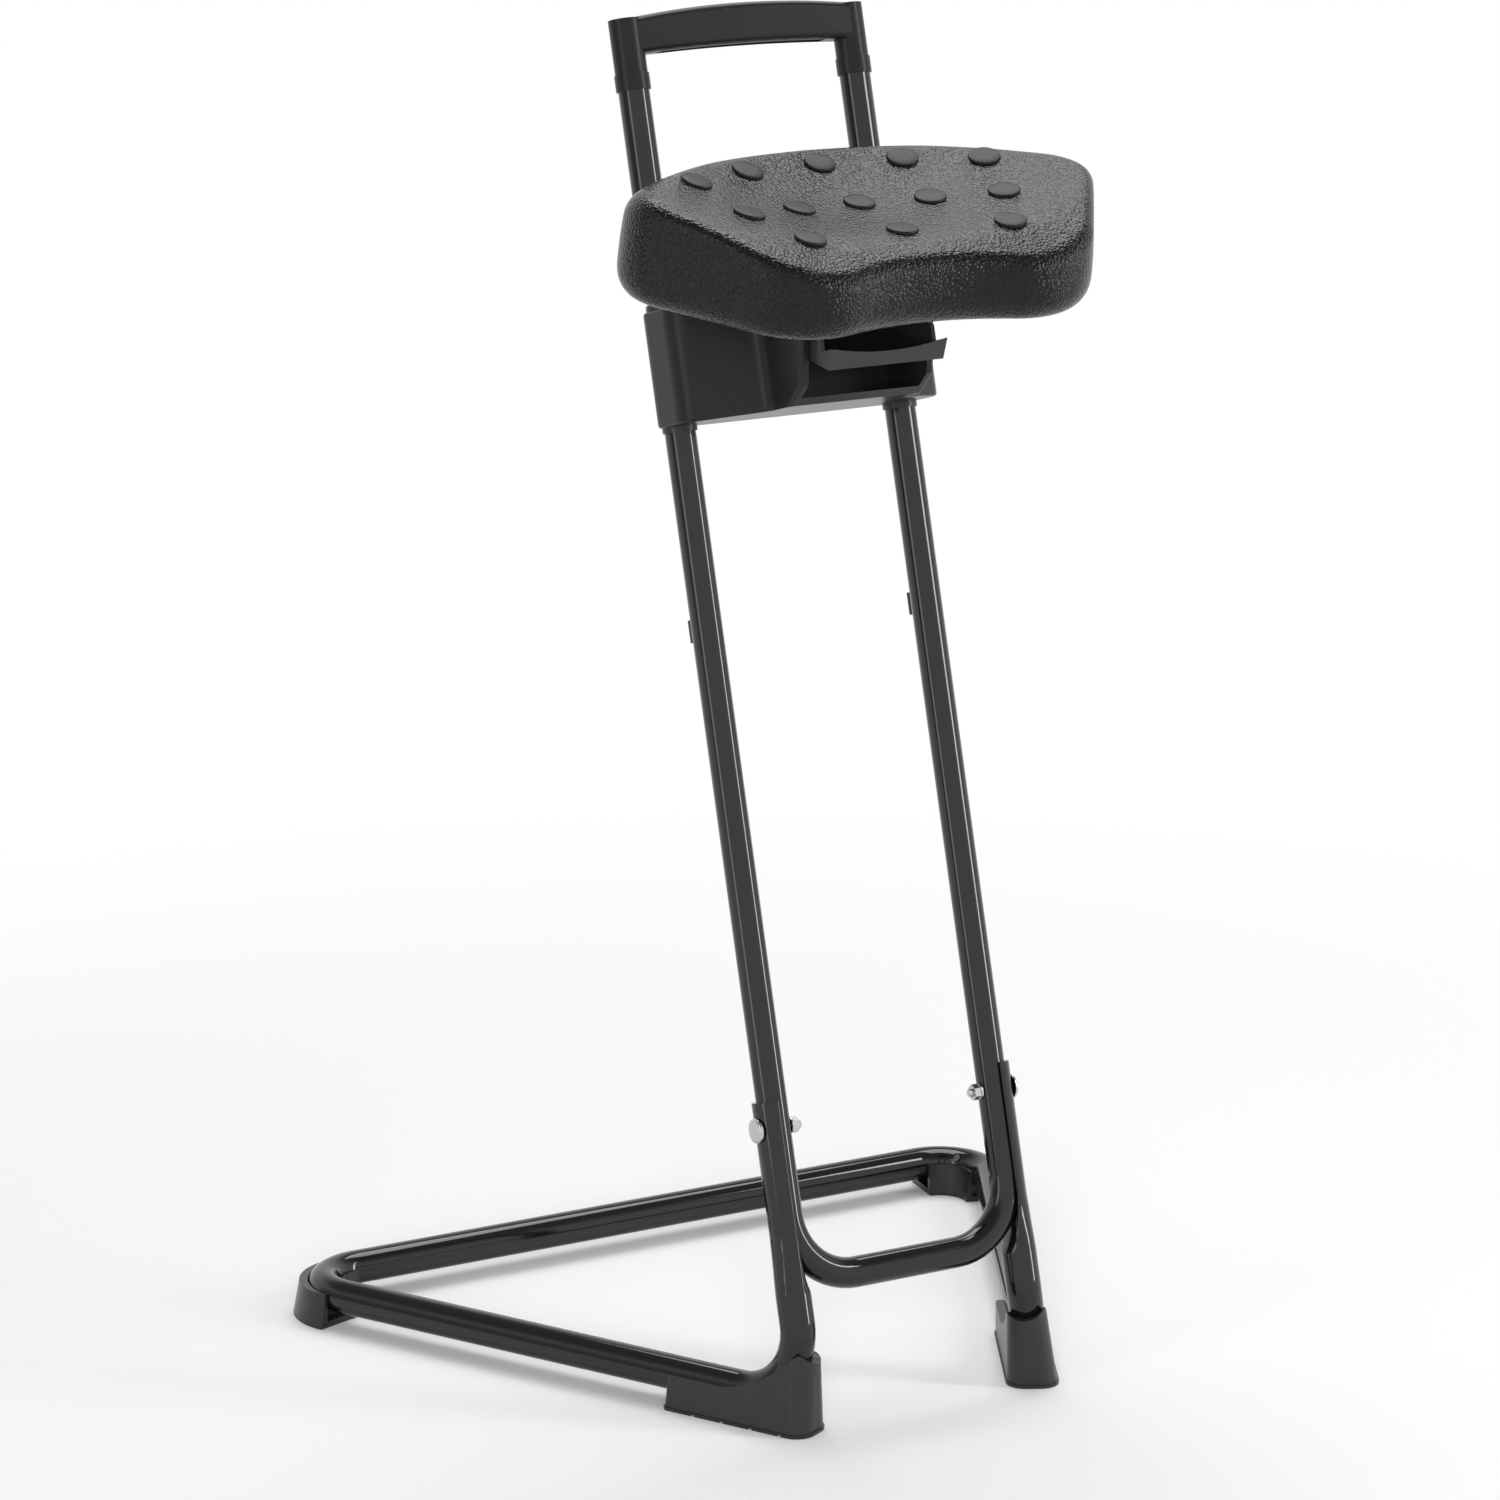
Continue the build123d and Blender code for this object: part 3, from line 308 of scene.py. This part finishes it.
def spread(made, value, socket, low, high, span=(0.0, 1.0)):
    """Shader input, colour or number, that varies with a texture's value between two ends."""
    nodes, links = made.node_tree.nodes, made.node_tree.links
    shader = nodes["Principled BSDF"]
    level = nodes.new("ShaderNodeMapRange")
    level.inputs["From Min"].default_value, level.inputs["From Max"].default_value = span
    links.new(value, level.inputs["Value"])
    if socket == "Base Color":
        mix = nodes.new("ShaderNodeMix")
        mix.data_type = "RGBA"
        mix.inputs[6].default_value = (*low, 1)
        mix.inputs[7].default_value = (*high, 1)
        links.new(level.outputs["Result"], mix.inputs[0])
        links.new(mix.outputs[2], shader.inputs[socket])
    else:
        level.inputs["To Min"].default_value, level.inputs["To Max"].default_value = low, high
        links.new(level.outputs["Result"], shader.inputs[socket])


def relief(made, value, distance, strength=1.0, invert=False):
    """Bump from a texture's value; distance is its height in metres."""
    nodes, links = made.node_tree.nodes, made.node_tree.links
    shader = nodes["Principled BSDF"]
    bump = nodes.new("ShaderNodeBump")
    bump.invert = invert
    bump.inputs["Strength"].default_value = strength
    bump.inputs["Distance"].default_value = distance
    earlier = shader.inputs["Normal"]
    if earlier.is_linked:
        links.new(earlier.links[0].from_socket, bump.inputs["Normal"])
    links.new(value, bump.inputs["Height"])
    links.new(bump.outputs["Normal"], earlier)


def gloss_paint():
    """Black powder coat: glossy, with a faint orange peel."""
    made = new_material("gloss_paint")
    peel = pattern(made, "ShaderNodeTexNoise", 320.0, Detail=2.0)
    spread(made, peel, "Base Color", (0.004, 0.004, 0.0043), (0.008, 0.008, 0.0084))
    spread(made, peel, "Roughness", 0.05, 0.1)
    relief(made, peel, distance=0.00012, strength=0.1)
    return made


def satin_plastic(name, level, roughness, specular):
    """Moulded black plastic with a fine spark-eroded grain."""
    made = new_material(name, specular=specular)
    grain = pattern(made, "ShaderNodeTexNoise", 2400.0, Detail=2.0)
    cloud = pattern(made, "ShaderNodeTexNoise", 40.0, Detail=3.0)
    spread(made, cloud, "Base Color", [level * 0.85] * 3, [level * 1.15] * 3)
    spread(made, grain, "Roughness", roughness * 0.85, roughness * 1.15)
    relief(made, grain, distance=0.0002, strength=0.12)
    return made


def foot_rubber():
    """Matt black rubber, slightly mottled."""
    made = new_material("foot_rubber", specular=0.45)
    grain = pattern(made, "ShaderNodeTexNoise", 1500.0, Detail=3.0)
    cloud = pattern(made, "ShaderNodeTexNoise", 60.0, Detail=3.0)
    spread(made, cloud, "Base Color", (0.012, 0.012, 0.012), (0.018, 0.018, 0.0178))
    spread(made, grain, "Roughness", 0.27, 0.36)
    relief(made, grain, distance=0.0003, strength=0.15)
    return made


def grained_skin():
    """Skin of moulded foam: pebbles about 2 mm across, glossier on their crests, with painted shade in
    the hollows between them, over soft waves.
    """
    made = new_material("grained_skin", specular=0.22)
    cells = {"feature": "SMOOTH_F1", "Smoothness": 0.35, "Randomness": 0.9}
    pebble = pattern(made, "ShaderNodeTexVoronoi", 470.0, **cells)
    wave = pattern(made, "ShaderNodeTexNoise", 150.0, Detail=3.0)
    # Painted shade: colour goes from 0.011 on the pebbles' crests to 0.004 in the hollows between them
    spread(made, pebble, "Base Color", (0.011, 0.011, 0.011), (0.004, 0.004, 0.004), (0.1, 0.7))
    spread(made, pebble, "Roughness", 0.13, 0.24, (0.1, 0.7))
    relief(made, wave, distance=0.0008, strength=0.3)
    relief(made, pebble, distance=0.0006, invert=True)
    return made


def nub_skin():
    """Smooth satin skin of the nubs."""
    made = new_material("nub_skin", specular=0.2)
    grain = pattern(made, "ShaderNodeTexNoise", 1300.0, Detail=2.0)
    spread(made, grain, "Base Color", (0.01, 0.01, 0.01), (0.015, 0.015, 0.015))
    spread(made, grain, "Roughness", 0.4, 0.5)
    relief(made, grain, distance=0.0002, strength=0.15)
    return made


def bare_metal(name, colour, roughness):
    """Plated or plain steel, faintly mottled."""
    made = new_material(name, metallic=1.0)
    mottle = pattern(made, "ShaderNodeTexNoise", 900.0, Detail=3.0)
    spread(made, mottle, "Base Color", [c * 0.9 for c in colour], colour)
    spread(made, mottle, "Roughness", roughness * 0.75, roughness * 1.25)
    relief(made, mottle, distance=0.0001, strength=0.1)
    return made


paint = gloss_paint()
plastic = satin_plastic("moulded_plastic", level=0.014, roughness=0.3, specular=0.2)
# Painted light: the lever is the housing's black plastic, given over twice its level to stand in for the
# front light on its faces
lever_plastic_painted_lighter = satin_plastic("lever_plastic_painted_lighter", level=0.032, roughness=0.3, specular=0.3)
bush = satin_plastic("sliding_plastic", level=0.014, roughness=0.34, specular=0.45)
rubber = foot_rubber()
skin = grained_skin()
zinc = bare_metal("bright_zinc", (0.56, 0.57, 0.58), roughness=0.22)
dark_zinc = bare_metal("dark_zinc", (0.16, 0.16, 0.165), roughness=0.3)
black_steel = bare_metal("blackened_steel", (0.035, 0.035, 0.036), roughness=0.4)
steel = bare_metal("plain_steel", (0.45, 0.45, 0.46), roughness=0.32)

# Material of each slot, and of the few nodes that differ from the rest of their slot; the lever differs
# only by its painted light
by_slot = {
    "black_paint": paint,
    "black_plastic": plastic,
    "black_rubber": rubber,
    "bush_plastic": bush,
    "zinc_steel": zinc,
    "spring_steel": steel,
    "seat_skin": skin,
}
by_node = {"release_lever": lever_plastic_painted_lighter, "rear_foot_screws": dark_zinc, "lever_pin": black_steel}
for subpart in frame["record"]["subparts"]:
    node = frame["nodes"][subpart["node"]]
    node.data.materials.clear()
    node.data.materials.append(by_node.get(subpart["node"], by_slot[subpart["material_slot"]]))

cushion = seat_cushion(skin)
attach(cushion, "carriage")
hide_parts("seat")
nubs = seat_nubs(nub_skin())
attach(nubs, "carriage")


# Studio: light level of the surroundings, the dim ceiling and the dim side that gloss reflects
WORLD_LIGHT = 0.38
CEILING_LEVEL = 0.25
CEILING_SPAN = (0.45, 0.8)
DIM_SIDE = (-0.94, 0.34, 0.0)
DIM_SIDE_LEVEL = 0.4
DIM_SIDE_SPAN = (0.8, 0.97)

# Floor: size, colour, and the ring over which its lit surface turns into the white backdrop
FLOOR_HALF = 14.0
FLOOR_DROP = 0.0002
FLOOR_COLOUR = 0.82
FLOOR_ROUGHNESS = 0.9
FLOOR_LIFT = 0.05
FADE_START = 0.45
FADE_END = 1.5

# Lamps: name, place, point that it faces, width and height, watts, and whether gloss shows it
LAMPS = (
    ("right_strip", (1.95, -1.65, 1.25), (0, 0, 0.7), (0.36, 2.4), 30, True),
    ("left_strip", (-2.45, -0.57, 1.2), (0, 0, 0.7), (0.55, 2.2), 8, True),
    ("front_fill", (-1.6, -2.9, 1.15), (0, 0, 0.6), (1.0, 1.0), 50, False),
    ("back_top", (0.55, 0.85, 2.75), (0, -0.1, 0.83), (1.8, 1.8), 47, True),
)


def new_node(tree, kind, *sources, **settings):
    """Node with its inputs set or linked in order, and its properties set."""
    node = tree.nodes.new(kind)
    for key, value in settings.items():
        setattr(node, key, value)
    for socket, source in zip(node.inputs, sources):
        if isinstance(source, bpy.types.NodeSocket):
            tree.links.new(source, socket)
        else:
            socket.default_value = source
    return node


def number(tree, operation, first, second):
    """Result of a sum on two numbers."""
    return new_node(tree, "ShaderNodeMath", first, second, operation=operation).outputs[0]


def between(tree, value, start, end, low, high, smooth=False):
    """Number that goes from low to high while value goes from start to end."""
    kind = "SMOOTHSTEP" if smooth else "LINEAR"
    ranged = new_node(tree, "ShaderNodeMapRange", value, start, end, low, high, interpolation_type=kind)
    return ranged.outputs[0]


def seen_directly(tree):
    """Camera rays alone, then with mirrored and refracted ones; light on the object is in neither."""
    path = tree.nodes.new("ShaderNodeLightPath").outputs
    bounced = number(tree, "MAXIMUM", path["Is Glossy Ray"], path["Is Transmission Ray"])
    return path["Is Camera Ray"], number(tree, "MAXIMUM", bounced, path["Is Camera Ray"])


def studio_world():
    """White surroundings for the camera; gloss also shows a dim ceiling and a dim side."""
    world = bpy.data.worlds.new("studio")
    world.use_nodes = True
    tree = world.node_tree
    direction = tree.nodes.new("ShaderNodeTexCoord").outputs["Generated"]
    height = new_node(tree, "ShaderNodeSeparateXYZ", direction).outputs["Z"]
    ceiling = between(tree, height, *CEILING_SPAN, 1.0, CEILING_LEVEL, smooth=True)
    aside = new_node(tree, "ShaderNodeVectorMath", direction, DIM_SIDE, operation="DOT_PRODUCT")
    side = between(tree, aside.outputs["Value"], *DIM_SIDE_SPAN, 1.0, DIM_SIDE_LEVEL, smooth=True)
    mirrored = number(tree, "MULTIPLY", ceiling, side)
    camera_ray, seen = seen_directly(tree)
    shown = between(tree, camera_ray, 0.0, 1.0, mirrored, 1.0)
    level = between(tree, seen, 0.0, 1.0, WORLD_LIGHT, shown)
    background = tree.nodes["Background"]
    background.inputs["Color"].default_value = (1, 1, 1, 1)
    tree.links.new(level, background.inputs["Strength"])
    bpy.context.scene.world = world


def studio_floor():
    """Pale floor that keeps the shadows near the object and turns white further out."""
    bpy.ops.mesh.primitive_plane_add(size=2 * FLOOR_HALF, location=(0, 0, -FLOOR_DROP))
    floor = bpy.context.object
    floor.name = "floor"
    made = bpy.data.materials.new("floor")
    made.use_nodes = True
    tree = made.node_tree
    shader = tree.nodes["Principled BSDF"]
    shader.inputs["Base Color"].default_value = (FLOOR_COLOUR, FLOOR_COLOUR, FLOOR_COLOUR, 1)
    shader.inputs["Roughness"].default_value = FLOOR_ROUGHNESS
    shader.inputs["Specular IOR Level"].default_value = 0.0
    place = tree.nodes.new("ShaderNodeTexCoord").outputs["Object"]
    radius = new_node(tree, "ShaderNodeVectorMath", place, operation="LENGTH").outputs["Value"]
    fade = between(tree, radius, FADE_START, FADE_END, 0.0, 1.0, smooth=True)
    seen = seen_directly(tree)[1]
    share = number(tree, "MULTIPLY", fade, seen)
    lift = number(tree, "MULTIPLY", seen, FLOOR_LIFT)
    lifted = new_node(tree, "ShaderNodeEmission", (1, 1, 1, 1), lift)
    near = new_node(tree, "ShaderNodeAddShader", shader.outputs[0], lifted.outputs[0])
    white = new_node(tree, "ShaderNodeEmission", (1, 1, 1, 1), 1.0)
    mixed = new_node(tree, "ShaderNodeMixShader", share, near.outputs[0], white.outputs[0])
    tree.links.new(mixed.outputs[0], tree.nodes["Material Output"].inputs["Surface"])
    floor.data.materials.append(made)


def area_light(name, place, target, size, power, mirrored):
    """Soft rectangular lamp that faces a point; gloss shows it where mirrored is set."""
    lamp = bpy.data.lights.new(name, "AREA")
    lamp.shape = "RECTANGLE"
    lamp.size, lamp.size_y = size
    lamp.energy = power
    holder = bpy.data.objects.new(name, lamp)
    holder.location = place
    holder.rotation_euler = (Vector(target) - Vector(place)).to_track_quat("-Z", "Y").to_euler()
    holder.visible_glossy = mirrored
    bpy.context.scene.collection.objects.link(holder)


studio_world()
studio_floor()
for lamp in LAMPS:
    area_light(*lamp)

camera = bpy.data.objects.new("camera", bpy.data.cameras.new("camera"))
camera.location = CAMERA_PLACE
camera.rotation_euler = Euler((math.radians(CAMERA_PITCH), 0, math.radians(CAMERA_TURN)))
camera.data.lens = CAMERA_LENS
camera.data.sensor_width = SENSOR
camera.data.clip_end = CAMERA_REACH
bpy.context.scene.collection.objects.link(camera)
bpy.context.scene.camera = camera
bpy.context.scene.view_settings.view_transform = "Standard"
